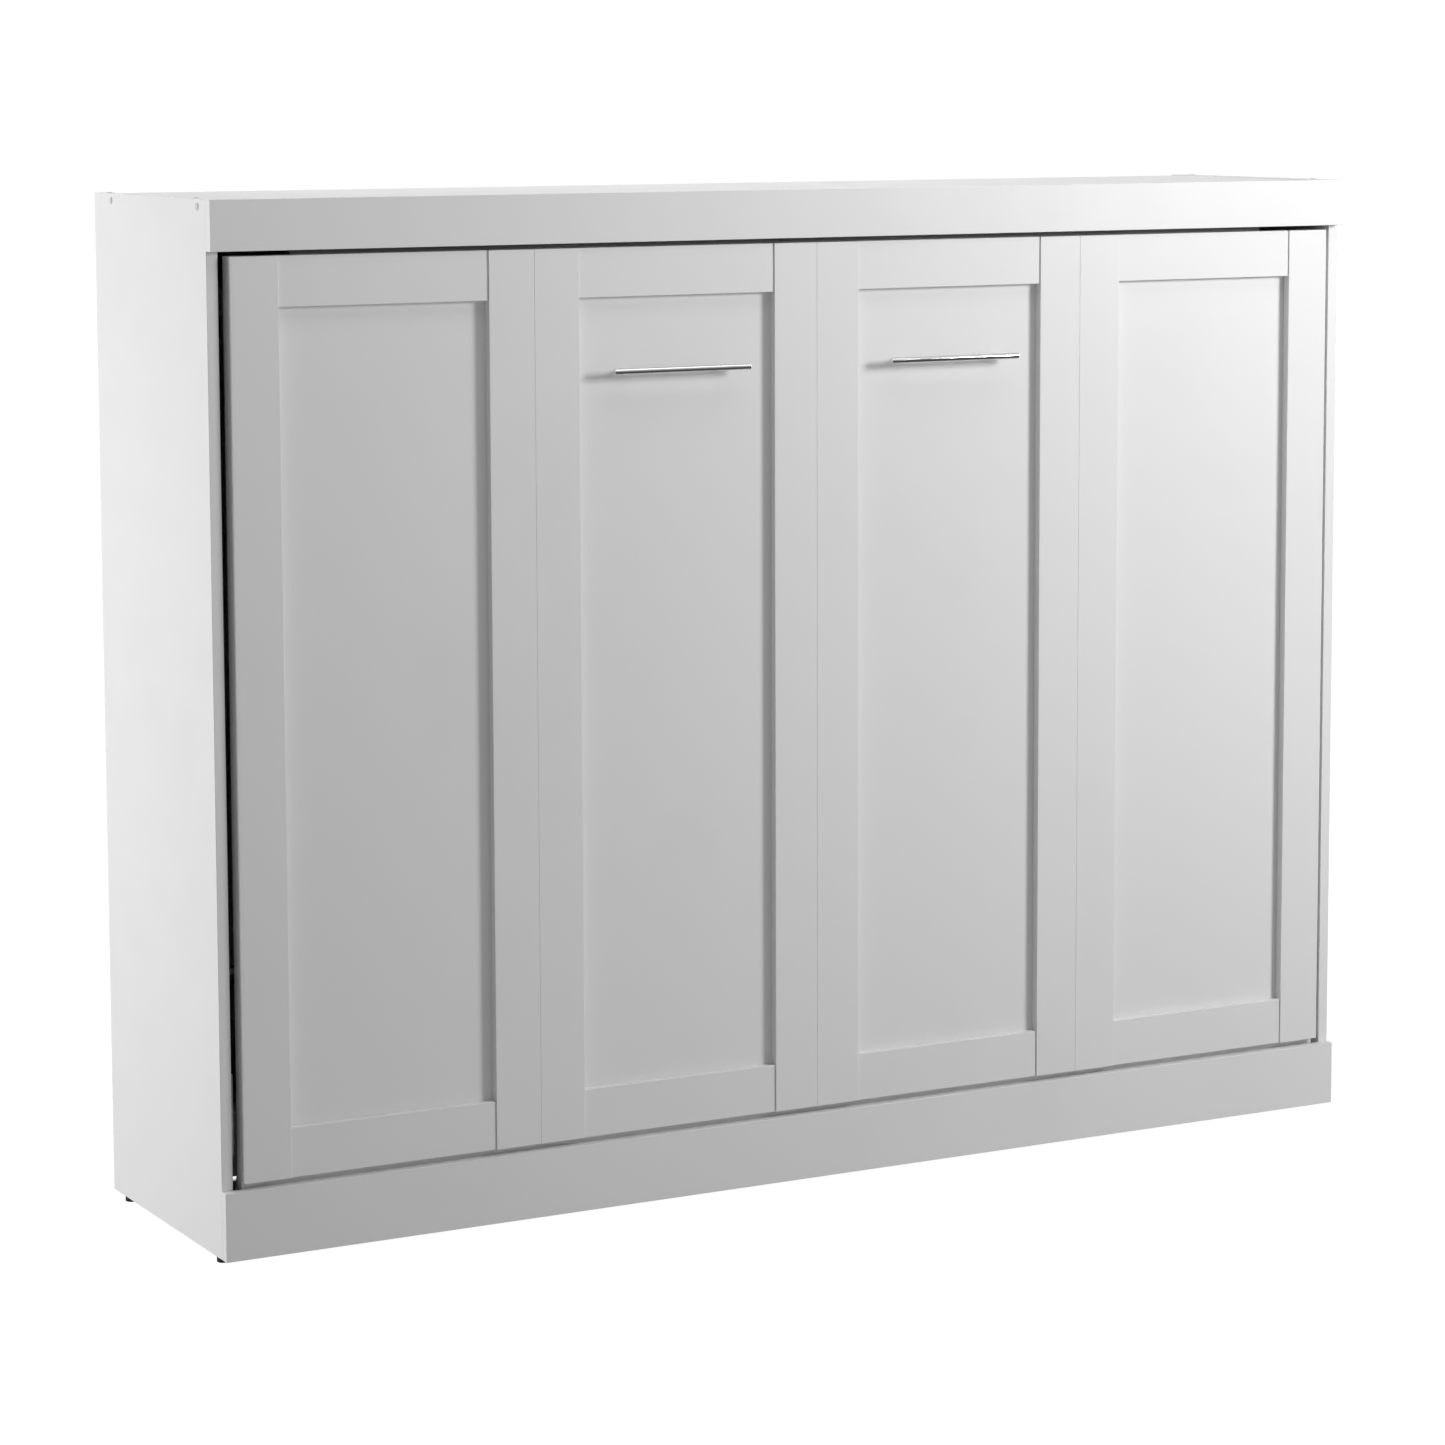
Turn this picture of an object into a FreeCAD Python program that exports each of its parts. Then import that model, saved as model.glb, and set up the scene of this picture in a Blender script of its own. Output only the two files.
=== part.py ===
import FreeCAD, Part
import math
import os

# Horizontal wall bed: a white cabinet whose whole front tilts down about a low axis and becomes the bed.
# Millimetres. While the pieces are drawn, x runs from the left outer face to the right, y from the
# front plane of the fascia to the back, and z up from the floor. save() moves them to the part's own
# origin, at the bottom centre of the box round the closed bed.

# Cabinet
CABINET_W = 2144.0
CABINET_D = 512.0
PANEL_H = 1670.0
BOARD = 19.0
FOOT_H = 8.0
FOOT_R = 10.0
FOOT_EDGE_R = 1.0
FOOT_Y = (42.0, 455.0)
FASCIA_H = 80.0
KICK_H = 111.0
KICK_T = 16.0
KICK_BACKER_H = 97.0
KICK_BACKER_T = 16.0
TOP_DROP = 2.0
WALL_RAIL_H = 150.0
BACK_SHEET_T = 5.0
BACK_SHEETS = 3
STUD_PITCH = 406.4
STUD_HOLES = 4
STUD_HOLE_R = 3.5
EDGE_R = 0.8
TOLERANCE = 0.1

# Stop rail and bumpers behind the bed's upper edge
STOP_RAIL_INSET = 150.0
STOP_RAIL_Y = 46.0
STOP_RAIL_Z = 1572.0
BUMPER_R = 8.0
BUMPER_Z = 1581.0
BUMPER_GAP = 0.3
BUMPER_INSET = 400.0

# Screws and caps
CAP_R = 6.0
CAP_H = 1.6
CAP_RIM = 0.6
SIDE_CAP_Y = (52.0, 434.0)
TOP_CAP_Y = (79.0, 461.0)
CONFIRMAT_R = 3.0
CONFIRMAT_HEAD_R = 5.0
CONFIRMAT_HEAD_H = 2.0
CONFIRMAT_L = 50.0
HOLE_PLAY = 0.05

# Doors: four shaker fronts, fixed side by side, that make the bed's face
DOOR_COUNT = 4
DOOR_PITCH = 519.0
DOOR_GAP = 0.1
DOOR_Z = 130.0
DOOR_H = 1460.0
FACE_Y = 5.5
STILE_W = 80.0
STILE_T = 16.0
RAIL_STEP = 2.5
BACK_T = 16.0
BACK_DROP = 14.0

# Handles
HANDLE_DOORS = (1, 2)
HANDLE_L = 250.0
HANDLE_R = 5.0
HANDLE_END_R = 0.6
POST_R = 4.0
POST_SPACING = 192.0
HANDLE_STANDOFF = 31.0
HANDLE_DROP = 200.0
SCREW_R = 2.0
SCREW_HEAD_R = 4.5
SCREW_HEAD_H = 2.5
SCREW_DEPTH = 12.0

# Bed frame, slats and mattress
MATTRESS_L = 1905.0
MATTRESS_W = 1372.0
MATTRESS_T = 220.0
MATTRESS_R = 45.0
MATTRESS_EDGE_R = 18.0
MATTRESS_PLAY = 5.0
MATTRESS_GAP = 0.5
MATTRESS_WALL = 14.0
FRAME_BOARD_H = 80.0
FRAME_INNER_Z = 145.0
CLEAT_H = 38.0
CLEAT_T = 25.0
SLAT_COUNT = 14
SLAT_W = 70.0
SLAT_T = 12.0
SLAT_END_GAP = 1.0
SLAT_EDGE_R = 1.6
STRAP_INSET = 420.0
STRAP_W = 40.0
STRAP_T = 2.0
STRAP_GAP = 1.0
STRAP_START = 100.0

# Pivot of the bed, with its plate and pin on the cabinet
PIVOT_Y = 65.5
PIVOT_Z = 240.0
PIVOT_PIN_R = 8.0
PIVOT_PIN_END = 84.0
PIVOT_PLATE_T = 4.0
PIVOT_PLATE_W = 84.0
PIVOT_PLATE_H = 130.0
PIVOT_BOSS_R = 20.0
PIVOT_BOSS_H = 8.0
BUSH_R = 13.0
BUSH_FLANGE_R = 17.0
BUSH_FLANGE_T = 3.0
BUSH_TAIL = 3.0
RUNNING_PLAY = 0.05

# Lift arms and gas struts. Both ends of a strut lie on one circle round the pivot, so the strut turns
# at exactly half the bed's rate and its rod stays in line with its cylinder.
ARM_X = 70.0
ARM_T = 6.0
ARM_PLATE_END_Y = 100.0
ARM_PLATE_Z = (150.0, 420.0)
ARM_FLANGE_X = 95.0
ARM_FLANGE_T = 5.0
ARM_ROOT_R = 27.5
ARM_TIP_R = 14.0
STRUT_CIRCLE_R = 220.0
STRUT_CABINET_ANGLE = 92.0
STRUT_BED_ANGLE = -70.0
STRUT_X = 46.0
STRUT_STUD_R = 5.0
STRUT_COLLAR_R = 8.0
STRUT_EYE_R = 11.0
STRUT_EYE_W = 12.0
STRUT_EYE_PLAY = 0.15
STRUT_STUD_END = 2.0
STRUT_COLLAR_GAP = 0.3
STRUT_NECK_R = 5.0
STRUT_TUBE_R = 11.0
STRUT_BORE_R = 9.5
STRUT_TUBE_START = 16.0
STRUT_TUBE_END = 228.0
STRUT_END_WALL = 4.0
STRUT_GLAND_L = 8.0
STRUT_ROD_R = 5.0
STRUT_PISTON_T = 6.0
STRUT_PISTON_AT = 232.0
STRUT_PLAY = 0.3
STRUT_PLATE_T = 3.0
STRUT_PLATE_W = 56.0
STRUT_PLATE_H = 84.0

# Folding legs at the sides of the bed's far end
LEG_X = 25.0
LEG_T = 5.0
LEG_W = 30.0
LEG_Y = 72.0
LEG_Z = 1500.0
LEG_FLOOR_GAP = 0.5
LEG_STUD_R = 5.0
LEG_STUD_X = 23.0
LEG_SHOE_X = (22.5, 32.0)
LEG_SHOE_W = 40.0
LEG_SHOE_H = 26.0
LEG_SHOE_SOLE = 6.0
LEG_BRACKET_X = 36.0
LEG_BRACKET_T = 4.0
LEG_BRACKET_BASE_X = 84.0
LEG_BRACKET_BASE_T = 3.0
LEG_BRACKET_H = 80.0
LEG_BRACKET_END_Y = 92.0

# Worked out from the sizes above
MID_X = CABINET_W / 2
PANEL_TOP = FOOT_H + PANEL_H
TOP_Z = PANEL_TOP - TOP_DROP - BOARD
INNER_X = (BOARD, CABINET_W - BOARD)
DOOR_TOP = DOOR_Z + DOOR_H
RECESS_Y = FACE_Y + STILE_T
BED_BACK_Y = RECESS_Y + BACK_T
FIRST_DOOR_X = MID_X - DOOR_COUNT * DOOR_PITCH / 2
HANDLE_REACH = HANDLE_STANDOFF + HANDLE_R - RECESS_Y
HANDLE_Z = DOOR_TOP - HANDLE_DROP
FRAME_INNER_L = MATTRESS_L + 2 * MATTRESS_PLAY
FRAME_INNER_W = MATTRESS_W + 2 * MATTRESS_PLAY
FRAME_X = (MID_X - FRAME_INNER_L / 2 - BOARD, MID_X + FRAME_INNER_L / 2 + BOARD)
FRAME_TOP_Z = FRAME_INNER_Z + FRAME_INNER_W
FRAME_END_Y = BED_BACK_Y + FRAME_BOARD_H
SLAT_Y = BED_BACK_Y + CLEAT_H
MATTRESS_Y = SLAT_Y + SLAT_T + MATTRESS_GAP
ORIGIN = FreeCAD.Vector(MID_X, (CABINET_D - HANDLE_REACH) / 2, 0)
X_AXIS = FreeCAD.Vector(1, 0, 0)


def box(x, y, z):
    """A block between the two values of each axis."""
    size = [abs(pair[1] - pair[0]) for pair in (x, y, z)]
    return Part.makeBox(*size, FreeCAD.Vector(min(x), min(y), min(z)))


def soft_box(x, y, z, radius=EDGE_R):
    """A block with all its edges rounded."""
    block = box(x, y, z)
    return block.makeFillet(radius, block.Edges)


def pin_x(radius, y, z, x):
    """A round bar along X between the two values of x."""
    start = FreeCAD.Vector(min(x), y, z)
    return Part.makeCylinder(radius, abs(x[1] - x[0]), start, X_AXIS)


def pin_y(radius, x, z, y):
    """A round bar along Y between the two values of y."""
    start = FreeCAD.Vector(x, min(y), z)
    return Part.makeCylinder(radius, abs(y[1] - y[0]), start, FreeCAD.Vector(0, 1, 0))


def pin_z(radius, x, y, z):
    """An upright round bar between the two values of z."""
    return Part.makeCylinder(radius, abs(z[1] - z[0]), FreeCAD.Vector(x, y, min(z)))


def right_hand(shape):
    """The same piece on the other side of the cabinet."""
    return shape.mirror(FreeCAD.Vector(MID_X, 0, 0), X_AXIS)


def on_circle(angle, radius=STRUT_CIRCLE_R):
    """Y and Z of a point round the pivot, with the angle measured from the back towards the top."""
    turn = math.radians(angle)
    return PIVOT_Y + radius * math.cos(turn), PIVOT_Z + radius * math.sin(turn)


def tapered_plate(first, first_r, second, second_r, x):
    """A flat link between two rounded ends, with straight sides that touch both rounds."""
    gap_y = second[0] - first[0]
    gap_z = second[1] - first[1]
    heading = math.atan2(gap_z, gap_y)
    lean = math.acos((first_r - second_r) / math.hypot(gap_y, gap_z))
    corners = []
    for centre, radius, side in ((first, first_r, 1), (second, second_r, 1),
                                 (second, second_r, -1), (first, first_r, -1)):
        angle = heading + side * lean
        corners.append(FreeCAD.Vector(x[0], centre[0] + radius * math.cos(angle),
                                      centre[1] + radius * math.sin(angle)))
    outline = Part.makePolygon(corners + corners[:1])
    web = Part.Face(outline).extrude(FreeCAD.Vector(x[1] - x[0], 0, 0))
    rounds = [pin_x(first_r, *first, x), pin_x(second_r, *second, x)]
    return web.fuse(rounds).removeSplitter()


def save(name, *solids):
    """Write one node, moved to the part's own origin."""
    shape = solids[0] if len(solids) == 1 else Part.Compound(list(solids))
    shape.translated(-ORIGIN).exportStep(os.path.join("parts", name + ".step"))


def save_pair(name, shape):
    """Write the left piece and its mirror image."""
    save(name + "_left", shape)
    save(name + "_right", right_hand(shape))


def confirmat(y, z):
    """A connecting screw that comes through the left side panel into the end of the top panel."""
    head = pin_x(CONFIRMAT_HEAD_R, y, z, (0, CONFIRMAT_HEAD_H))
    return head.fuse(pin_x(CONFIRMAT_R, y, z, (0, CONFIRMAT_L))).removeSplitter()


def confirmat_hole(y, z):
    """The stepped hole that the connecting screw sits in."""
    head = pin_x(CONFIRMAT_HEAD_R + HOLE_PLAY, y, z, (-CONFIRMAT_HEAD_H, CONFIRMAT_HEAD_H))
    return head.fuse(pin_x(CONFIRMAT_R + HOLE_PLAY, y, z, (0, CONFIRMAT_L)))


def cap(base, direction):
    """A low domed cover cap that stands on a board."""
    disc = Part.makeCylinder(CAP_R, CAP_H, base, direction)
    rims = [edge for edge in disc.Edges if len(edge.Vertexes) == 1
            and (edge.CenterOfMass - base).dot(direction) > CAP_H / 2]
    return disc.makeFillet(CAP_H - CAP_RIM, rims)


def cabinet_shell():
    screw_z = TOP_Z + BOARD / 2
    side = soft_box((0, BOARD), (BOARD, CABINET_D), (FOOT_H, PANEL_TOP))
    top = box(INNER_X, (BOARD, CABINET_D), (TOP_Z, TOP_Z + BOARD))
    screws = []
    for y in SIDE_CAP_Y:
        hole = confirmat_hole(y, screw_z)
        side = side.cut(hole)
        top = top.cut([hole, right_hand(hole)])
        screws += [confirmat(y, screw_z), right_hand(confirmat(y, screw_z))]
    save_pair("side_panel", side)
    save("top_panel", top)
    save("top_panel_screws", *screws)
    save("fascia", soft_box((0, CABINET_W), (0, BOARD), (PANEL_TOP - FASCIA_H, PANEL_TOP)))
    save("kick_board", soft_box((0, CABINET_W), (BOARD - KICK_T, BOARD), (FOOT_H, FOOT_H + KICK_H)))
    save("kick_backer", box(INNER_X, (BOARD, BOARD + KICK_BACKER_T), (FOOT_H, FOOT_H + KICK_BACKER_H)))


def screw_caps():
    caps = []
    for y in SIDE_CAP_Y:
        left = cap(FreeCAD.Vector(0, y, TOP_Z + BOARD / 2), -X_AXIS)
        caps += [left, right_hand(left)]
    for y in TOP_CAP_Y:
        left = cap(FreeCAD.Vector(BOARD / 2, y, PANEL_TOP), FreeCAD.Vector(0, 0, 1))
        caps += [left, right_hand(left)]
    save("screw_caps", *caps)


def feet():
    for place, y in zip(("front", "rear"), FOOT_Y):
        foot = pin_z(FOOT_R, BOARD / 2, y, (0, FOOT_H))
        lower_rim = [edge for edge in foot.Edges if edge.BoundBox.ZMax < FOOT_H / 2]
        save_pair("foot_" + place, foot.makeFillet(FOOT_EDGE_R, lower_rim))


def cabinet_back():
    """Two wall rails and the thin sheets behind them, with the holes for the wall screws."""
    sheet_y = (CABINET_D - BACK_SHEET_T, CABINET_D)
    rail_y = (sheet_y[0] - BOARD, sheet_y[0])
    first_hole = MID_X - STUD_PITCH * (STUD_HOLES - 1) / 2
    holes = [pin_y(STUD_HOLE_R, first_hole + index * STUD_PITCH, TOP_Z - WALL_RAIL_H / 2,
                   (rail_y[0], CABINET_D)) for index in range(STUD_HOLES)]
    save("wall_rail_upper", box(INNER_X, rail_y, (TOP_Z - WALL_RAIL_H, TOP_Z)).cut(holes))
    save("wall_rail_lower", box(INNER_X, rail_y, (FOOT_H, FOOT_H + WALL_RAIL_H)))
    width = (INNER_X[1] - INNER_X[0]) / BACK_SHEETS
    sheets = []
    for index in range(BACK_SHEETS):
        left = INNER_X[0] + index * width
        sheets.append(box((left, left + width), sheet_y, (FOOT_H, TOP_Z)).cut(holes))
    save("back_sheets", *sheets)


def stop_rail():
    x = (STOP_RAIL_INSET, CABINET_W - STOP_RAIL_INSET)
    save("stop_rail", box(x, (STOP_RAIL_Y, STOP_RAIL_Y + BOARD), (STOP_RAIL_Z, TOP_Z)))
    reach = (BED_BACK_Y + BUMPER_GAP, STOP_RAIL_Y)
    places = (BUMPER_INSET, MID_X - DOOR_PITCH / 2, MID_X + DOOR_PITCH / 2, CABINET_W - BUMPER_INSET)
    save("stop_bumpers", *[pin_y(BUMPER_R, place, BUMPER_Z, reach) for place in places])


def doors():
    for index in range(DOOR_COUNT):
        left = FIRST_DOOR_X + index * DOOR_PITCH + DOOR_GAP / 2
        right = left + DOOR_PITCH - DOOR_GAP
        name = "door_%d_" % (index + 1)
        back = soft_box((left, right), (RECESS_Y, BED_BACK_Y), (DOOR_Z - BACK_DROP, DOOR_TOP))
        if index in HANDLE_DOORS:
            back = back.cut([post_hole(left + right, side) for side in (-1, 1)])
        save(name + "panel", back)
        upright = (DOOR_Z, DOOR_TOP)
        save(name + "stiles",
             soft_box((left, left + STILE_W), (FACE_Y, RECESS_Y), upright),
             soft_box((right - STILE_W, right), (FACE_Y, RECESS_Y), upright))
        between = (left + STILE_W, right - STILE_W)
        depth = (FACE_Y + RAIL_STEP, RECESS_Y)
        save(name + "rails",
             soft_box(between, depth, (DOOR_Z, DOOR_Z + STILE_W)),
             soft_box(between, depth, (DOOR_TOP - STILE_W, DOOR_TOP)))


def post_hole(edges_sum, side):
    """The screw hole behind one handle post, for the door with this sum of its side edges."""
    x = edges_sum / 2 + side * POST_SPACING / 2
    return pin_y(SCREW_R + HOLE_PLAY, x, HANDLE_Z, (RECESS_Y, BED_BACK_Y))


def handles():
    posts = []
    screws = []
    bar_y = RECESS_Y - HANDLE_STANDOFF
    for name, index in zip(("left", "right"), HANDLE_DOORS):
        centre = FIRST_DOOR_X + (index + 0.5) * DOOR_PITCH
        bar = pin_x(HANDLE_R, bar_y, HANDLE_Z, (centre - HANDLE_L / 2, centre + HANDLE_L / 2))
        rims = [edge for edge in bar.Edges if len(edge.Vertexes) == 1]
        for side in (-1, 1):
            x = centre + side * POST_SPACING / 2
            screw_end = RECESS_Y - SCREW_DEPTH
            post = pin_y(POST_R, x, HANDLE_Z, (bar_y, RECESS_Y)).cut(bar)
            posts.append(post.cut(pin_y(SCREW_R + HOLE_PLAY, x, HANDLE_Z, (screw_end, RECESS_Y))))
            head = pin_y(SCREW_HEAD_R, x, HANDLE_Z, (BED_BACK_Y, BED_BACK_Y + SCREW_HEAD_H))
            shank = pin_y(SCREW_R, x, HANDLE_Z, (screw_end, BED_BACK_Y))
            screws.append(head.fuse(shank).removeSplitter())
        save("handle_bar_" + name, bar.makeFillet(HANDLE_END_R, rims))
    save("handle_posts", *posts)
    save("handle_screws", *screws)


def bed_frame():
    depth = (BED_BACK_Y, FRAME_END_Y)
    save("frame_board_lower", box(FRAME_X, depth, (FRAME_INNER_Z - BOARD, FRAME_INNER_Z)))
    save("frame_board_upper", box(FRAME_X, depth, (FRAME_TOP_Z, FRAME_TOP_Z + BOARD)))
    end = box((FRAME_X[0], FRAME_X[0] + BOARD), depth, (FRAME_INNER_Z, FRAME_TOP_Z))
    save_pair("frame_end", end)
    inside = (FRAME_X[0] + BOARD, FRAME_X[1] - BOARD)
    middle = (FRAME_INNER_Z + FRAME_TOP_Z - CLEAT_T) / 2
    for name, z in (("slat_cleat_lower", FRAME_INNER_Z), ("slat_cleat_upper", FRAME_TOP_Z - CLEAT_T),
                    ("slat_centre_rail", middle)):
        save(name, box(inside, (BED_BACK_Y, SLAT_Y), (z, z + CLEAT_T)))


def slats():
    gap = (FRAME_INNER_L - SLAT_COUNT * SLAT_W) / (SLAT_COUNT + 1)
    z = (FRAME_INNER_Z + SLAT_END_GAP, FRAME_TOP_Z - SLAT_END_GAP)
    rows = []
    for index in range(SLAT_COUNT):
        x = FRAME_X[0] + BOARD + gap + index * (SLAT_W + gap)
        rows.append(soft_box((x, x + SLAT_W), (SLAT_Y, SLAT_Y + SLAT_T), z, SLAT_EDGE_R))
    save("slats", *rows)


def mattress():
    """A closed shell, with walls of the thickness that gives the weight of a foam and spring mattress."""
    x = (MID_X - MATTRESS_L / 2, MID_X + MATTRESS_L / 2)
    y = (MATTRESS_Y, MATTRESS_Y + MATTRESS_T)
    z = (FRAME_INNER_Z + MATTRESS_PLAY, FRAME_TOP_Z - MATTRESS_PLAY)
    block = box(x, y, z)
    corners = [edge for edge in block.Edges if edge.BoundBox.YLength > MATTRESS_T / 2]
    block = block.makeFillet(MATTRESS_R, corners)
    rims = [edge for edge in block.Edges if edge.BoundBox.YLength < TOLERANCE]
    block = block.makeFillet(MATTRESS_EDGE_R, rims)
    core = [(pair[0] + MATTRESS_WALL, pair[1] - MATTRESS_WALL) for pair in (x, y, z)]
    save("mattress", block.cut(box(*core)))


def mattress_straps():
    back = MATTRESS_Y + MATTRESS_T + STRAP_GAP
    low = FRAME_INNER_Z + STRAP_GAP
    high = FRAME_TOP_Z - STRAP_GAP
    straps = []
    for centre in (STRAP_INSET, CABINET_W - STRAP_INSET):
        x = (centre - STRAP_W / 2, centre + STRAP_W / 2)
        outer = box(x, (STRAP_START, back + STRAP_T), (low, high))
        inner = box(x, (STRAP_START, back), (low + STRAP_T, high - STRAP_T))
        straps.append(outer.cut(inner))
    save("mattress_straps", *straps)


def pivot_plates():
    plate_end = BOARD + PIVOT_PLATE_T
    plate = box((BOARD, plate_end),
                (PIVOT_Y - PIVOT_PLATE_W / 2, PIVOT_Y + PIVOT_PLATE_W / 2),
                (PIVOT_Z - PIVOT_PLATE_H / 2, PIVOT_Z + PIVOT_PLATE_H / 2))
    boss = pin_x(PIVOT_BOSS_R, PIVOT_Y, PIVOT_Z, (BOARD, plate_end + PIVOT_BOSS_H))
    pin = pin_x(PIVOT_PIN_R, PIVOT_Y, PIVOT_Z, (BOARD, PIVOT_PIN_END))
    save_pair("pivot_plate", plate.fuse([boss, pin]).removeSplitter())


def pivot_bushes():
    arm_end = ARM_X + ARM_T
    sleeve = pin_x(BUSH_R, PIVOT_Y, PIVOT_Z, (ARM_X - BUSH_FLANGE_T, arm_end + BUSH_TAIL))
    flange = pin_x(BUSH_FLANGE_R, PIVOT_Y, PIVOT_Z, (ARM_X - BUSH_FLANGE_T, ARM_X))
    bore = pin_x(PIVOT_PIN_R + RUNNING_PLAY, PIVOT_Y, PIVOT_Z, (0, PIVOT_PIN_END))
    bush = sleeve.fuse(flange).removeSplitter().cut(bore)
    save("pivot_bushes", bush, right_hand(bush))


def lift_arms():
    x = (ARM_X, ARM_X + ARM_T)
    tip = on_circle(STRUT_BED_ANGLE)
    link = tapered_plate((PIVOT_Y, PIVOT_Z), ARM_ROOT_R, tip, ARM_TIP_R, x)
    plate = box(x, (BED_BACK_Y, ARM_PLATE_END_Y), ARM_PLATE_Z)
    flange = box((ARM_X, ARM_FLANGE_X), (BED_BACK_Y, BED_BACK_Y + ARM_FLANGE_T), ARM_PLATE_Z)
    stud = pin_x(STRUT_STUD_R, *tip, (STRUT_X - STRUT_EYE_W / 2 - STRUT_STUD_END, ARM_X))
    collar = pin_x(STRUT_COLLAR_R, *tip, (STRUT_X + STRUT_EYE_W / 2 + STRUT_COLLAR_GAP, ARM_X))
    arm = link.fuse([plate, flange, stud, collar]).removeSplitter()
    save_pair("lift_arm", arm.cut(pin_x(BUSH_R, PIVOT_Y, PIVOT_Z, x)))


def strut_brackets():
    y, z = on_circle(STRUT_CABINET_ANGLE)
    plate_end = BOARD + STRUT_PLATE_T
    plate = box((BOARD, plate_end), (y - STRUT_PLATE_W / 2, y + STRUT_PLATE_W / 2),
                (z - STRUT_PLATE_H / 2, z + STRUT_PLATE_H / 2))
    stud = pin_x(STRUT_STUD_R, y, z, (BOARD, STRUT_X + STRUT_EYE_W / 2 + STRUT_STUD_END))
    collar = pin_x(STRUT_COLLAR_R, y, z, (BOARD, STRUT_X - STRUT_EYE_W / 2 - STRUT_COLLAR_GAP))
    save_pair("strut_bracket", plate.fuse([stud, collar]).removeSplitter())


def along_strut(radius, start, reach, flip=False):
    """A round bar on the strut's line, measured from the cabinet's stud, or from the bed's with flip."""
    first = FreeCAD.Vector(STRUT_X, *on_circle(STRUT_CABINET_ANGLE))
    second = FreeCAD.Vector(STRUT_X, *on_circle(STRUT_BED_ANGLE))
    if flip:
        first, second = second, first
    heading = (second - first).normalize()
    return Part.makeCylinder(radius, reach - start, first + heading * start, heading)


def strut_eye(angle):
    """The ring at one end of the strut, and the hole through it."""
    y, z = on_circle(angle)
    width = (STRUT_X - STRUT_EYE_W / 2, STRUT_X + STRUT_EYE_W / 2)
    hole = pin_x(STRUT_STUD_R + STRUT_EYE_PLAY, y, z, width)
    return pin_x(STRUT_EYE_R, y, z, width), hole


def struts():
    eye, hole = strut_eye(STRUT_CABINET_ANGLE)
    neck = along_strut(STRUT_NECK_R, STRUT_STUD_R, STRUT_TUBE_START)
    tube = along_strut(STRUT_TUBE_R, STRUT_TUBE_START, STRUT_TUBE_END)
    tube = tube.cut([
        along_strut(STRUT_BORE_R, STRUT_TUBE_START + STRUT_END_WALL, STRUT_TUBE_END - STRUT_GLAND_L),
        along_strut(STRUT_ROD_R + STRUT_PLAY, STRUT_TUBE_END - STRUT_GLAND_L, STRUT_TUBE_END)])
    save_pair("strut_cylinder", tube.fuse([neck, eye]).removeSplitter().cut(hole))
    eye, hole = strut_eye(STRUT_BED_ANGLE)
    rod = along_strut(STRUT_ROD_R, STRUT_STUD_R, STRUT_PISTON_AT, flip=True)
    piston = along_strut(STRUT_BORE_R - STRUT_PLAY, STRUT_PISTON_AT - STRUT_PISTON_T, STRUT_PISTON_AT,
                         flip=True)
    save_pair("strut_rod", rod.fuse([piston, eye]).removeSplitter().cut(hole))


def leg_brackets():
    z = (LEG_Z - LEG_BRACKET_H / 2, LEG_Z + LEG_BRACKET_H / 2)
    base = box((LEG_BRACKET_X, LEG_BRACKET_BASE_X), (BED_BACK_Y, BED_BACK_Y + LEG_BRACKET_BASE_T), z)
    ear = box((LEG_BRACKET_X, LEG_BRACKET_X + LEG_BRACKET_T), (BED_BACK_Y, LEG_BRACKET_END_Y), z)
    stud = pin_x(LEG_STUD_R, LEG_Y, LEG_Z, (LEG_STUD_X, LEG_BRACKET_X))
    save_pair("leg_bracket", base.fuse([ear, stud]).removeSplitter())


def legs():
    reach = PIVOT_Z + LEG_Y - PIVOT_Y - LEG_FLOOR_GAP
    x = (LEG_X, LEG_X + LEG_T)
    sole = LEG_Z - reach
    bar = box(x, (LEG_Y - LEG_W / 2, LEG_Y + LEG_W / 2), (sole + LEG_SHOE_SOLE, LEG_Z))
    bar = bar.fuse(pin_x(LEG_W / 2, LEG_Y, LEG_Z, x)).removeSplitter()
    save_pair("leg", bar.cut(pin_x(LEG_STUD_R + STRUT_EYE_PLAY, LEG_Y, LEG_Z, x)))
    shoe = soft_box(LEG_SHOE_X, (LEG_Y - LEG_SHOE_W / 2, LEG_Y + LEG_SHOE_W / 2),
                    (sole, sole + LEG_SHOE_H))
    save_pair("leg_shoe", shoe.cut(bar))


os.makedirs("parts", exist_ok=True)
cabinet_shell()
screw_caps()
feet()
cabinet_back()
stop_rail()
doors()
handles()
bed_frame()
slats()
mattress()
mattress_straps()
pivot_plates()
pivot_bushes()
lift_arms()
strut_brackets()
struts()
leg_brackets()
legs()
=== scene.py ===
import math

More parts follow.
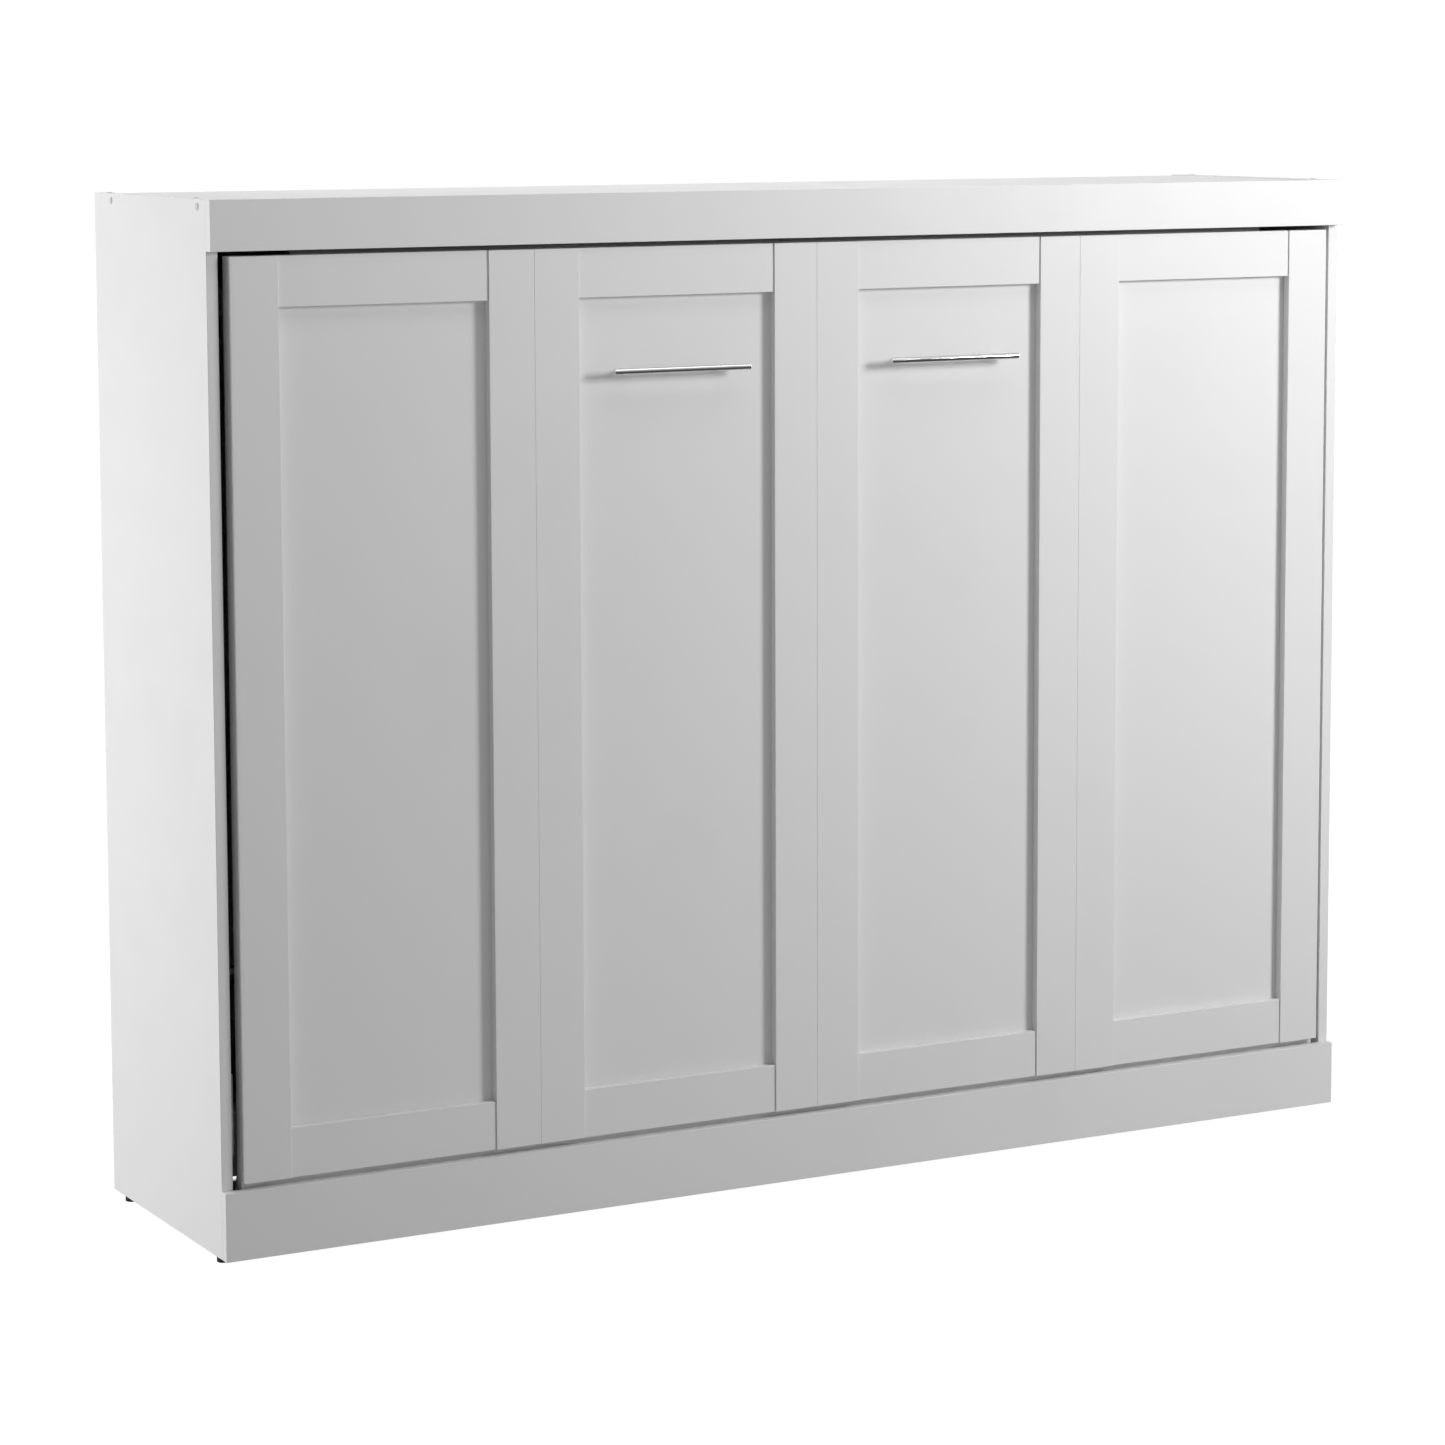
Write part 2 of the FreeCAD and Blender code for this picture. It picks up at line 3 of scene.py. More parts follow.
import bmesh
import bpy
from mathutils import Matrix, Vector


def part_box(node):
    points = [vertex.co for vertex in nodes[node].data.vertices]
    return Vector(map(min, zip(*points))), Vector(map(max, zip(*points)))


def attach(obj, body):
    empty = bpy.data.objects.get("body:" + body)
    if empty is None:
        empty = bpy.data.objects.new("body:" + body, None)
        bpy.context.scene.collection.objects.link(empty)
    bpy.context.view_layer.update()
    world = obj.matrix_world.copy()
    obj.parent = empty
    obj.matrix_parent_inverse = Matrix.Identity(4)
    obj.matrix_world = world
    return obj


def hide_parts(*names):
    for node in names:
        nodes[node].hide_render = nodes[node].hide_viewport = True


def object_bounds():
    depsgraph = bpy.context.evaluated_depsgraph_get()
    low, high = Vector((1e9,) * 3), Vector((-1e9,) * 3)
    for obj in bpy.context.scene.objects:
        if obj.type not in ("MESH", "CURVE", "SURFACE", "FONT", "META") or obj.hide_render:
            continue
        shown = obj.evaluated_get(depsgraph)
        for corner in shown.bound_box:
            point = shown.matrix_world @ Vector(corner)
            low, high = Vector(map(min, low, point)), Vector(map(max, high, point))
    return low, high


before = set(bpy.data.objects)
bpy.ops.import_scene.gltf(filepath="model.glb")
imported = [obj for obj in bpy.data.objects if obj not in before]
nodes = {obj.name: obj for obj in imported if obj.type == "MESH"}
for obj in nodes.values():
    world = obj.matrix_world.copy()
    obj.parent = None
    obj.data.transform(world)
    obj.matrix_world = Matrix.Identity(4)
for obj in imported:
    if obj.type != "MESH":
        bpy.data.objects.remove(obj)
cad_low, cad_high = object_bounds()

MM = 0.001
scene = bpy.context.scene


# ---------------------------------------------------------------- camera

CAMERA_PLACE = (-3.4286, -6.2686, 1.8607)
CAMERA_YAW = 28.358
CAMERA_PITCH = 6.429
CAMERA_ROLL = 0.188
CAMERA_LENS = 104.19
CAMERA_SHIFT = -0.12

# Light given off, where 1 is full white: by the room and floor as lights, and by the floor as it is seen.
ROOM_GLOW = 0.08
CEILING_SHINE = 0.65
CEILING_FROM = 0.15
CEILING_FULL = 0.5
FLOOR_FILL = 0.37
# FLOOR_GLOW: the floor's glow at the edge of the painted shade, rising to full white FLOOR_FADE metres out:
# a faint painted contact shadow.
FLOOR_GLOW = 0.985
FLOOR_BASE = 0.02
FLOOR_EDGE = 60
FLOOR_FADE = 3.0
# The painted shade on the floor under the cabinet, where the floor gives off no light: how far it lies
# inside the box on the left, front, right and back.
PAINTED_SHADE_INSET = (0.045, 0.085, 0.045, 0.025)
# How far out the painted shade fades up to FLOOR_GLOW.
PAINTED_SHADE_SOFT = 0.02


def make_camera():
    data = bpy.data.cameras.new("camera")
    data.sensor_width = 36
    data.lens = CAMERA_LENS
    data.shift_y = CAMERA_SHIFT
    data.clip_end = 200
    camera = bpy.data.objects.new("camera", data)
    camera.location = CAMERA_PLACE
    camera.rotation_euler = (math.radians(90 - CAMERA_PITCH), math.radians(CAMERA_ROLL),
                             math.radians(-CAMERA_YAW))
    scene.collection.objects.link(camera)
    scene.camera = camera


# ---------------------------------------------------------------- lights and floor

def area_light(name, place, target, size, power, colour=(1, 1, 1)):
    data = bpy.data.lights.new(name, "AREA")
    data.shape = "RECTANGLE"
    data.size, data.size_y = size
    data.energy = power
    data.color = colour
    light = bpy.data.objects.new(name, data)
    light.location = place
    aim = Vector(target) - Vector(place)
    light.rotation_mode = "QUATERNION"
    light.rotation_quaternion = aim.to_track_quat("-Z", "Y")
    scene.collection.objects.link(light)
    return light


def make_lights():
    area_light("key", (2.4, -2.6, 2.2), (0.1, -0.2, 0.9), (0.9, 0.9), 78)
    area_light("front", (0.3, -4.0, 1.8), (0.0, -0.2, 0.8), (4.0, 2.6), 6)
    area_light("top_front", (0.0, -1.6, 4.2), (0.0, -0.2, 0.6), (4.0, 1.2), 24)
    area_light("left", (-4.2, 1.4, 0.9), (-1.0, 0.1, 0.8), (2.4, 2.0), 85)
    area_light("left_high", (-4.2, 1.4, 2.0), (-1.0, 0.1, 0.8), (2.4, 2.0), 38)
    area_light("top", (0.0, 1.2, 4.0), (0.0, 0.0, 1.6), (4.0, 1.5), 74)
    make_room()
    scene.view_settings.view_transform = "Standard"


def make_room():
    """White behind the object, dim all round it, with a light ceiling for polished metal to reflect."""
    world = bpy.data.worlds.new("studio")
    world.use_nodes = True
    tree = world.node_tree
    background = tree.nodes["Background"]
    background.inputs["Color"].default_value = (1, 1, 1, 1)
    path = tree.nodes.new("ShaderNodeLightPath")
    room = tree.nodes.new("ShaderNodeMapRange")
    room.inputs["To Min"].default_value = ROOM_GLOW
    room.inputs["To Max"].default_value = 1.0
    tree.links.new(path.outputs["Is Camera Ray"], room.inputs["Value"])
    split = tree.nodes.new("ShaderNodeSeparateXYZ")
    tree.links.new(tree.nodes.new("ShaderNodeTexCoord").outputs["Generated"], split.inputs[0])
    ceiling = tree.nodes.new("ShaderNodeMapRange")
    ceiling.inputs["From Min"].default_value = CEILING_FROM
    ceiling.inputs["From Max"].default_value = CEILING_FULL
    ceiling.inputs["To Max"].default_value = CEILING_SHINE
    tree.links.new(split.outputs["Z"], ceiling.inputs["Value"])
    shine = tree.nodes.new("ShaderNodeMath")
    shine.operation = "MULTIPLY_ADD"
    tree.links.new(path.outputs["Is Glossy Ray"], shine.inputs[0])
    tree.links.new(ceiling.outputs["Result"], shine.inputs[1])
    tree.links.new(room.outputs["Result"], shine.inputs[2])
    tree.links.new(shine.outputs[0], background.inputs["Strength"])
    scene.world = world


def floor_glow_with_painted_shade(tree):
    """Full white far off; a little less close to the cabinet and none under it, which is painted shade."""
    coordinates = tree.nodes.new("ShaderNodeTexCoord")
    split = tree.nodes.new("ShaderNodeSeparateXYZ")
    tree.links.new(coordinates.outputs["Object"], split.inputs[0])
    left, front, right, back = PAINTED_SHADE_INSET
    edges = ((cad_low[0] + left, cad_high[0] - right), (cad_low[1] + front, cad_high[1] - back))
    outside = tree.nodes.new("ShaderNodeCombineXYZ")
    for axis, (start, end) in enumerate(edges):
        value = split.outputs[axis]
        for operation, number in (("SUBTRACT", (start + end) / 2), ("ABSOLUTE", 0.0),
                                  ("SUBTRACT", (end - start) / 2), ("MAXIMUM", 0.0)):
            step = tree.nodes.new("ShaderNodeMath")
            step.operation = operation
            step.inputs[1].default_value = number
            tree.links.new(value, step.inputs[0])
            value = step.outputs[0]
        tree.links.new(value, outside.inputs[axis])
    reach = tree.nodes.new("ShaderNodeVectorMath")
    reach.operation = "LENGTH"
    tree.links.new(outside.outputs[0], reach.inputs[0])
    # Glow is 0 inside the box and FLOOR_GLOW just outside it: painted shade under and around the cabinet.
    ramp = tree.nodes.new("ShaderNodeFloatCurve")
    curve = ramp.mapping.curves[0]
    curve.points[0].location = (0.0, 0.0)
    curve.points[1].location = (1.0, 1.0)
    curve.points.new(PAINTED_SHADE_SOFT / FLOOR_FADE, FLOOR_GLOW)
    for point in curve.points:
        point.handle_type = "VECTOR"
    ramp.mapping.update()
    far = tree.nodes.new("ShaderNodeMath")
    far.operation = "DIVIDE"
    far.use_clamp = True
    far.inputs[1].default_value = FLOOR_FADE
    tree.links.new(reach.outputs["Value"], far.inputs[0])
    tree.links.new(far.outputs[0], ramp.inputs["Value"])
    return ramp.outputs[0]


def make_floor():
    """A pale sweep, white where it is seen, that throws an even soft light up at what stands on it, with
    painted shade near and under the cabinet.
    """
    mesh = bpy.data.meshes.new("floor")
    edge = FLOOR_EDGE
    mesh.from_pydata([(-edge, -edge, 0), (edge, -edge, 0), (edge, edge, 0), (-edge, edge, 0)], [],
                     [(0, 1, 2, 3)])
    floor = bpy.data.objects.new("floor", mesh)
    floor.visible_glossy = False
    scene.collection.objects.link(floor)
    surface = bpy.data.materials.new("floor")
    surface.use_nodes = True
    tree = surface.node_tree
    shader = tree.nodes["Principled BSDF"]
    shader.inputs["Base Color"].default_value = (FLOOR_BASE, FLOOR_BASE, FLOOR_BASE, 1)
    shader.inputs["Roughness"].default_value = 0.9
    shader.inputs["Emission Color"].default_value = (1, 1, 1, 1)
    path = tree.nodes.new("ShaderNodeLightPath")
    level = tree.nodes.new("ShaderNodeMapRange")
    level.inputs["To Min"].default_value = FLOOR_FILL
    level.inputs["To Max"].default_value = 1.0
    tree.links.new(path.outputs["Is Camera Ray"], level.inputs["Value"])
    glow = tree.nodes.new("ShaderNodeMath")
    glow.operation = "MULTIPLY"
    tree.links.new(level.outputs["Result"], glow.inputs[0])
    tree.links.new(floor_glow_with_painted_shade(tree), glow.inputs[1])
    tree.links.new(glow.outputs[0], shader.inputs["Emission Strength"])
    mesh.materials.append(surface)


# ---------------------------------------------------------------- materials

class Shader:
    """One node material, with short calls for the patterns that it is made of."""

    def __init__(self, name, colour, roughness, metallic=0.0, **fixed):
        self.material = bpy.data.materials.new(name)
        self.material.use_nodes = True
        self.tree = self.material.node_tree
        self.shader = self.tree.nodes["Principled BSDF"]
        self.colour = rgba(colour)
        self.roughness = roughness
        self.shader.inputs["Metallic"].default_value = metallic
        for key, value in fixed.items():
            self.shader.inputs[key.replace("_", " ")].default_value = value
        self.heights = []
        coordinates = self.tree.nodes.new("ShaderNodeTexCoord")
        self.place = coordinates.outputs["Object"]

    def node(self, kind, **inputs):
        made = self.tree.nodes.new("ShaderNode" + kind)
        for key, value in inputs.items():
            socket = made.inputs[key.replace("_", " ")]
            if isinstance(value, bpy.types.NodeSocket):
                self.tree.links.new(value, socket)
            else:
                socket.default_value = value
        return made

    def stretched(self, scale):
        """Object coordinates multiplied along each axis."""
        return self.node("Mapping", Vector=self.place, Scale=scale).outputs["Vector"]

    def noise(self, scale, detail=4.0, stretch=(1, 1, 1)):
        made = self.node("TexNoise", Vector=self.stretched(stretch), Scale=scale, Detail=detail)
        return made.outputs["Fac"]

    def spread(self, fac, low, high, start=0.3, end=0.7):
        made = self.node("MapRange", Value=fac)
        made.inputs["From Min"].default_value = start
        made.inputs["From Max"].default_value = end
        made.inputs["To Min"].default_value = low
        made.inputs["To Max"].default_value = high
        return made.outputs["Result"]

    def blend(self, fac, first, second):
        made = self.tree.nodes.new("ShaderNodeMix")
        made.data_type = "RGBA"
        ends = (made.inputs[6], made.inputs[7])
        if isinstance(fac, bpy.types.NodeSocket):
            self.tree.links.new(fac, made.inputs[0])
        else:
            made.inputs[0].default_value = fac
        for socket, value in zip(ends, (first, second)):
            if isinstance(value, bpy.types.NodeSocket):
                self.tree.links.new(value, socket)
            else:
                socket.default_value = value
        return made.outputs[2]

    def maths(self, operation, first, second=0.0):
        made = self.tree.nodes.new("ShaderNodeMath")
        made.operation = operation
        for socket, value in zip(made.inputs, (first, second)):
            if isinstance(value, bpy.types.NodeSocket):
                self.tree.links.new(value, socket)
            else:
                socket.default_value = value
        return made.outputs[0]

    def line_distance(self, along, pitch):
        """Distance from the nearest of even diagonal lines, given the sum or difference of two axes."""
        across = self.maths("DIVIDE", along, math.sqrt(2) * pitch)
        off = self.maths("SUBTRACT", across, self.maths("ROUND", across))
        return self.maths("MULTIPLY", self.maths("ABSOLUTE", off), pitch)

    def edge_mask(self, radius):
        """1 on worn edges and 0 on flat faces."""
        bevel = self.tree.nodes.new("ShaderNodeBevel")
        bevel.samples = 6
        bevel.inputs["Radius"].default_value = radius
        geometry = self.tree.nodes.new("ShaderNodeNewGeometry")
        dot = self.tree.nodes.new("ShaderNodeVectorMath")
        dot.operation = "DOT_PRODUCT"
        self.tree.links.new(bevel.outputs["Normal"], dot.inputs[0])
        self.tree.links.new(geometry.outputs["Normal"], dot.inputs[1])
        return self.spread(dot.outputs["Value"], 1.0, 0.0, 0.86, 0.995)

    def bump(self, height, strength, distance):
        self.heights.append((height, strength, distance))

    def finish(self):
        inputs = self.shader.inputs
        for name, value in (("Base Color", self.colour), ("Roughness", self.roughness)):
            if isinstance(value, bpy.types.NodeSocket):
                self.tree.links.new(value, inputs[name])
            else:
                inputs[name].default_value = value
        normal = None
        for height, strength, distance in self.heights:
            made = self.node("Bump", Height=height, Strength=strength, Distance=distance)
            if normal is not None:
                self.tree.links.new(normal, made.inputs["Normal"])
            normal = made.outputs["Normal"]
        if normal is not None:
            self.tree.links.new(normal, inputs["Normal"])
        return self.material


def grey(value):
    return (value, value, value)


def rgba(colour):
    return tuple(colour) + (1.0,)


def laminate(name, tone, rubbed_tone, rough=0.42):
    """Satin melamine: a faint orange peel and fleck, cloudy sheen, and rubbed patches in a second tone."""
    made = Shader(name, grey(tone), rough, Specular_IOR_Level=0.42)
    clouds = made.noise(1.7, 2.0)
    cloudy = made.blend(made.spread(clouds, 0.0, 1.0), rgba(grey(tone)), rgba(grey(tone * 0.985)))
    fleck = made.spread(made.noise(900, 3.0), 0.0, 0.5, 0.45, 0.75)
    flecked = made.blend(fleck, cloudy, rgba(grey(tone * 0.975)))
    rubbed = made.spread(made.noise(3.1, 6.0), 0.0, 0.4, 0.55, 0.85)
    made.colour = made.blend(rubbed, flecked, rgba(grey(rubbed_tone)))
    made.roughness = made.spread(made.noise(14, 5.0), rough - 0.03, rough + 0.05)
    made.bump(made.noise(650, 2.0), 0.10, 0.05 * MM)
    made.bump(made.noise(60, 1.0), 0.06, 0.08 * MM)
    return made.finish()


def hardboard():
    made = Shader("hardboard", grey(0.6), 0.7)
    fibre = made.noise(240, 6.0, (1, 1, 2.2))
    made.colour = made.blend(made.spread(fibre, 0.0, 1.0), rgba((0.66, 0.655, 0.64)),
                             rgba((0.55, 0.54, 0.52)))
    made.bump(fibre, 0.25, 0.12 * MM)
    return made.finish()


def birch():
    made = Shader("birch", (0.7, 0.5, 0.3), 0.5)
    grain = made.noise(9, 8.0, (9, 9, 0.55))
    pores = made.noise(60, 3.0, (9, 9, 0.5))
    base = made.blend(made.spread(grain, 0.0, 1.0, 0.35, 0.68), rgba((0.72, 0.53, 0.33)),
                      rgba((0.55, 0.36, 0.19)))
    made.colour = made.blend(made.spread(pores, 0.0, 0.45, 0.5, 0.72), base, rgba((0.36, 0.22, 0.11)))
    made.roughness = made.spread(grain, 0.45, 0.62)
    made.bump(pores, 0.3, 0.15 * MM)
    return made.finish()


def chrome(name, tone, rough):
    """Plated steel with faint polishing lines and finger marks."""
    made = Shader(name, grey(tone), rough, metallic=1.0)
    lines = made.noise(350, 2.0, (0.06, 1, 1))
    marks = made.noise(45, 4.0)
    made.roughness = made.maths("ADD", made.spread(marks, rough * 0.8, rough * 1.5),
                                made.spread(lines, 0.0, 0.04))
    made.bump(lines, 0.04, 0.02 * MM)
    return made.finish()


def zinc():
    """Bright zinc plate: a blotchy spangle and patchy dullness."""
    made = Shader("zinc", (0.6, 0.61, 0.63), 0.36, metallic=1.0)
    cells = made.node("TexVoronoi", Vector=made.place, Scale=160.0).outputs["Color"]
    tint = made.node("SeparateColor", Color=cells).outputs[0]
    made.colour = made.blend(made.spread(tint, 0.0, 1.0, 0.0, 1.0), rgba((0.55, 0.56, 0.58)),
                             rgba((0.66, 0.66, 0.67)))
    made.roughness = made.spread(made.noise(25, 4.0), 0.28, 0.46)
    made.bump(made.noise(500, 3.0), 0.08, 0.03 * MM)
    return made.finish()


def enamel(name, colour, rough, grain=420):
    """Powder coat: orange peel over a dark or grey paint, with rubbed edges."""
    made = Shader(name, colour, rough)
    edges = made.maths("MULTIPLY", made.edge_mask(0.8 * MM), made.spread(made.noise(70), 0.0, 0.8))
    worn = tuple(min(1.0, part * 2.2 + 0.03) for part in colour)
    made.colour = made.blend(edges, rgba(colour), rgba(worn))
    made.roughness = made.spread(made.noise(30, 4.0), rough - 0.06, rough + 0.08)
    made.bump(made.noise(grain, 2.0), 0.3, 0.06 * MM)
    return made.finish()


def moulded(name, colour, rough):
    """Moulded plastic or rubber: spark-eroded grain and a soft cloudiness."""
    made = Shader(name, colour, rough)
    darker = tuple(part * 0.8 for part in colour)
    made.colour = made.blend(made.spread(made.noise(55, 4.0), 0.0, 1.0), rgba(colour), rgba(darker))
    made.roughness = made.spread(made.noise(130, 3.0), rough - 0.08, rough + 0.08)
    made.bump(made.noise(1500, 2.0), 0.3, 0.05 * MM)
    return made.finish()


def weave(name, colour, shade, pitch, rough=0.85, sheen=0.25, quilt=None, quilt_face=0.0):
    """Woven cloth: warp and weft ribs at the given pitch, with slubs, a soft sheen and quilting stitches."""
    made = Shader(name, colour, rough, Sheen_Weight=sheen, Sheen_Roughness=0.4)
    split = made.node("SeparateXYZ", Vector=made.place)
    turns = 2 * math.pi / pitch
    ribs = [made.maths("SINE", made.maths("MULTIPLY", side, turns)) for side in split.outputs]
    crossings = [made.maths("MULTIPLY", ribs[first], ribs[second])
                 for first, second in ((0, 2), (0, 1), (1, 2))]
    cross = made.maths("ADD", made.maths("ADD", crossings[0], crossings[1]), crossings[2])
    slub = made.noise(90, 5.0)
    relief = made.maths("ADD", cross, made.spread(slub, -0.4, 0.4))
    made.colour = made.blend(made.spread(relief, 0.0, 1.0, -1.0, 1.0), rgba(shade), rgba(colour))
    made.bump(relief, 0.5, pitch * 0.25)
    if quilt:
        lines = [made.line_distance(made.maths(way, split.outputs[0], split.outputs[2]), quilt)
                 for way in ("ADD", "SUBTRACT")]
        near = made.maths("MINIMUM", *lines)
        on_face = made.spread(split.outputs[1], 0.0, 1.0, quilt_face - 8 * MM, quilt_face - 4 * MM)
        seam = made.maths("MULTIPLY", made.spread(near, 1.0, 0.0, 0.4 * MM, 3 * MM), on_face)
        dashes = made.spread(made.maths("SINE", made.maths("MULTIPLY", split.outputs[0], turns / 2)),
                             0.0, 1.0, -0.2, 0.2)
        made.colour = made.blend(made.maths("MULTIPLY", made.maths("MULTIPLY", seam, dashes), 0.35),
                                 made.colour, rgba(shade))
        made.bump(made.maths("MULTIPLY", seam, -1.0), 0.6, 1.2 * MM)
    return made.finish()


def paint_nodes(prefixes, material):
    for name, piece in nodes.items():
        if name.startswith(prefixes):
            piece.data.materials.clear()
            piece.data.materials.append(material)


def make_materials():
    white = laminate("white_laminate", 0.80, 0.72)
    inner = laminate("inner_laminate", 0.78, 0.70, 0.5)
    plate = zinc()
    black = moulded("black_plastic", grey(0.012), 0.55)
    paint_nodes(("door_", "fascia", "kick_board", "side_panel", "top_panel"), white)
    paint_nodes(("kick_backer", "wall_rail", "frame_"), inner)
    # The stop rail is seen only through the top gap; its dark grey tone is painted shade for that gap.
    paint_nodes(("stop_rail",), laminate("rail_laminate_painted_shade", 0.34, 0.28, 0.6))
    paint_nodes(("back_sheets",), hardboard())
    paint_nodes(("slat",), birch())
    paint_nodes(("handle_bar", "handle_posts"), chrome("handle_chrome", 0.78, 0.07))
    paint_nodes(("strut_rod",), chrome("rod_chrome", 0.62, 0.16))
    paint_nodes(("handle_screws", "top_panel_screws", "pivot_plate", "lift_arm", "strut_bracket",
                 "leg_bracket"), plate)
    paint_nodes(("screw_caps",), moulded("white_caps", grey(0.72), 0.45))
    paint_nodes(("foot_", "leg_shoe"), black)
    paint_nodes(("stop_bumpers",), moulded("grey_rubber", grey(0.16), 0.8))
    paint_nodes(("pivot_bushes",), moulded("bush_nylon", (0.6, 0.58, 0.5), 0.5))
    paint_nodes(("strut_cylinder",), enamel("strut_enamel", grey(0.018), 0.3))
    paint_nodes(("leg_left", "leg_right"), enamel("leg_enamel", grey(0.06), 0.42))


# ---------------------------------------------------------------- mattress and straps

COVER_INSET = 6 * MM
COVER_CORNER = 45 * MM
COVER_RIM = 18 * MM
COVER_VOXEL = 15 * MM
COVER_SWELL = 9 * MM
CLOTH_STEPS = 20
CLOTH_STIFFNESS = 12
CLOTH_PRESSURE = 4
QUILT_PITCH = 127 * MM
QUILT_HOLD = 14 * MM
QUILT_DEPTH = 2.2 * MM
BORDER_ROWS = 3
BORDER_DEPTH = 2.0 * MM
TAPE_R = 5.5 * MM
STRAP_W = 40 * MM
STRAP_T = 2 * MM
STRAP_BED = 30 * MM
STRAP_CORNER = 16 * MM
BUCKLE_DROP = 170 * MM
BUCKLE_R = 2.6 * MM
BUCKLE_W = 52 * MM
BUCKLE_H = 34 * MM
BUCKLE_CORNER = 7 * MM
TAIL_L = 120 * MM


def smooth_step(value):
    value = min(1.0, max(0.0, value))
    return value * value * (3 - 2 * value)


def new_piece(name, mesh, body, material):
    piece = bpy.data.objects.new(name, mesh)
    scene.collection.objects.link(piece)
    mesh.materials.clear()
    mesh.materials.append(material)
    for face in mesh.polygons:
        face.use_smooth = True
    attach(piece, body)
    return piece


def applied(piece):
    """The mesh of a piece with its modifiers applied."""
    graph = bpy.context.evaluated_depsgraph_get()
    graph.update()
    mesh = bpy.data.meshes.new_from_object(piece.evaluated_get(graph))
    piece.modifiers.clear()
    return mesh


def cover_block(low, high):
    """The mattress cover before it swells: upright corners and softer rims, in even square faces."""
    middle = (low + high) / 2
    made = bmesh.new()
    bmesh.ops.create_cube(made, size=1.0)
    for vertex in made.verts:
        vertex.co = Vector(vertex.co[i] * (high[i] - low[i]) + middle[i] for i in range(3))
    uprights = [edge for edge in made.edges if abs(edge.verts[0].co.y - edge.verts[1].co.y) > COVER_RIM]
    bmesh.ops.bevel(made, geom=uprights, offset=COVER_CORNER, segments=6, profile=0.5, affect="EDGES")
    rims = [edge for edge in made.edges if abs(edge.verts[0].co.y - edge.verts[1].co.y) < MM]
    bmesh.ops.bevel(made, geom=rims, offset=COVER_RIM, segments=3, profile=0.5, affect="EDGES")
    mesh = bpy.data.meshes.new("mattress_cover")
    made.to_mesh(mesh)
    made.free()
    block = bpy.data.objects.new("cover_block", mesh)
    scene.collection.objects.link(block)
    remesh = block.modifiers.new("even", "REMESH")
    remesh.mode = "VOXEL"
    remesh.voxel_size = COVER_VOXEL
    even = applied(block)
    bpy.data.objects.remove(block)
    return even


def quilt_distance(place):
    """Distance in the sleeping surface from the nearest line of the diamond quilting."""
    nearest = QUILT_PITCH
    for along in (place.x + place.z, place.x - place.z):
        across = along / math.sqrt(2) / QUILT_PITCH
        nearest = min(nearest, abs(across - round(across)) * QUILT_PITCH)
    return nearest


def strap_distance(place, strap_lines):
    return min(abs(place.x - line) for line in strap_lines)


def hold_weight(place, low, high, strap_lines):
    """How firmly the stitching, the slats and the straps hold a point of the cover while it swells."""
    if place.y < low.y + COVER_RIM:
        return 1.0
    rim = min(place.x - low.x, high.x - place.x, place.z - low.z, high.z - place.z)
    near_rim = high.y - place.y < COVER_RIM * 1.2 and rim < COVER_RIM * 1.2
    if near_rim:
        return 1.0
    weight = smooth_step((STRAP_BED - strap_distance(place, strap_lines)) / (STRAP_BED - STRAP_W / 2))
    if high.y - place.y < MM:
        weight = max(weight, smooth_step(1 - quilt_distance(place) / QUILT_HOLD))
    return weight


def swell(piece, low, high, strap_lines):
    """Fills the cover by cloth simulation, then caps how far each point has moved."""
    start = [vertex.co.copy() for vertex in piece.data.vertices]
    held = piece.vertex_groups.new(name="held")
    for index, place in enumerate(start):
        held.add([index], hold_weight(place, low, high, strap_lines), "REPLACE")
    cloth = piece.modifiers.new("cloth", "CLOTH")
    cloth.settings.quality = 4
    cloth.settings.mass = 0.3
    cloth.settings.tension_stiffness = CLOTH_STIFFNESS
    cloth.settings.compression_stiffness = CLOTH_STIFFNESS
    cloth.settings.bending_stiffness = 0.6
    cloth.settings.use_pressure = True
    cloth.settings.uniform_pressure_force = CLOTH_PRESSURE
    cloth.settings.vertex_group_mass = "held"
    cloth.settings.pin_stiffness = 1.0
    cloth.settings.effector_weights.gravity = 0
    for frame_number in range(1, CLOTH_STEPS + 1):
        scene.frame_set(frame_number)
    swollen = applied(piece)
    scene.frame_set(1)
    for vertex, place in zip(swollen.vertices, start):
        moved = vertex.co - place
        if moved.length > COVER_SWELL:
            vertex.co = place + moved * (COVER_SWELL / moved.length)
    piece.data = swollen
    piece.vertex_groups.clear()


def stitch(mesh, low, high):
    """Sews the quilting and the channels of the border into the swollen cover."""
    middle = (low + high) / 2
    for vertex in mesh.vertices:
        place = vertex.co
        pull = Vector((0, 0, 0))
        if place.y > high.y - MM:
            groove = math.exp(-(quilt_distance(place) / (5 * MM)) ** 2)
            pull.y -= QUILT_DEPTH * groove
        elif low.y + COVER_RIM < place.y < high.y - COVER_RIM:
            rise = (place.y - low.y) / (high.y - low.y) * (BORDER_ROWS + 1)
            off = abs(rise - round(rise)) * (high.y - low.y) / (BORDER_ROWS + 1)
            outward = Vector((place.x - middle.x, 0, place.z - middle.z))
            side = Vector((math.copysign(1, outward.x), 0, 0))
            if high.z - abs(outward.z) - middle.z < high.x - abs(outward.x) - middle.x:
                side = Vector((0, 0, math.copysign(1, outward.z)))
            pull -= side * BORDER_DEPTH * math.exp(-(off / (7 * MM)) ** 2)
        vertex.co = place + pull


def rounded_loop(low, high, y, inset, radius, steps=10):
    """Points round a rectangle with round corners in an upright plane."""
    points = []
    corners = ((high.x, high.z, 0), (low.x, high.z, 90), (low.x, low.z, 180), (high.x, low.z, 270))
    middle = (low + high) / 2
    for x, z, first in corners:
        centre_x = x - math.copysign(radius + inset, x - middle.x)
        centre_z = z - math.copysign(radius + inset, z - middle.z)
        for step in range(steps + 1):
            turn = math.radians(first + 90 * step / steps)
            points.append((centre_x + radius * math.cos(turn), y, centre_z + radius * math.sin(turn)))
    return points


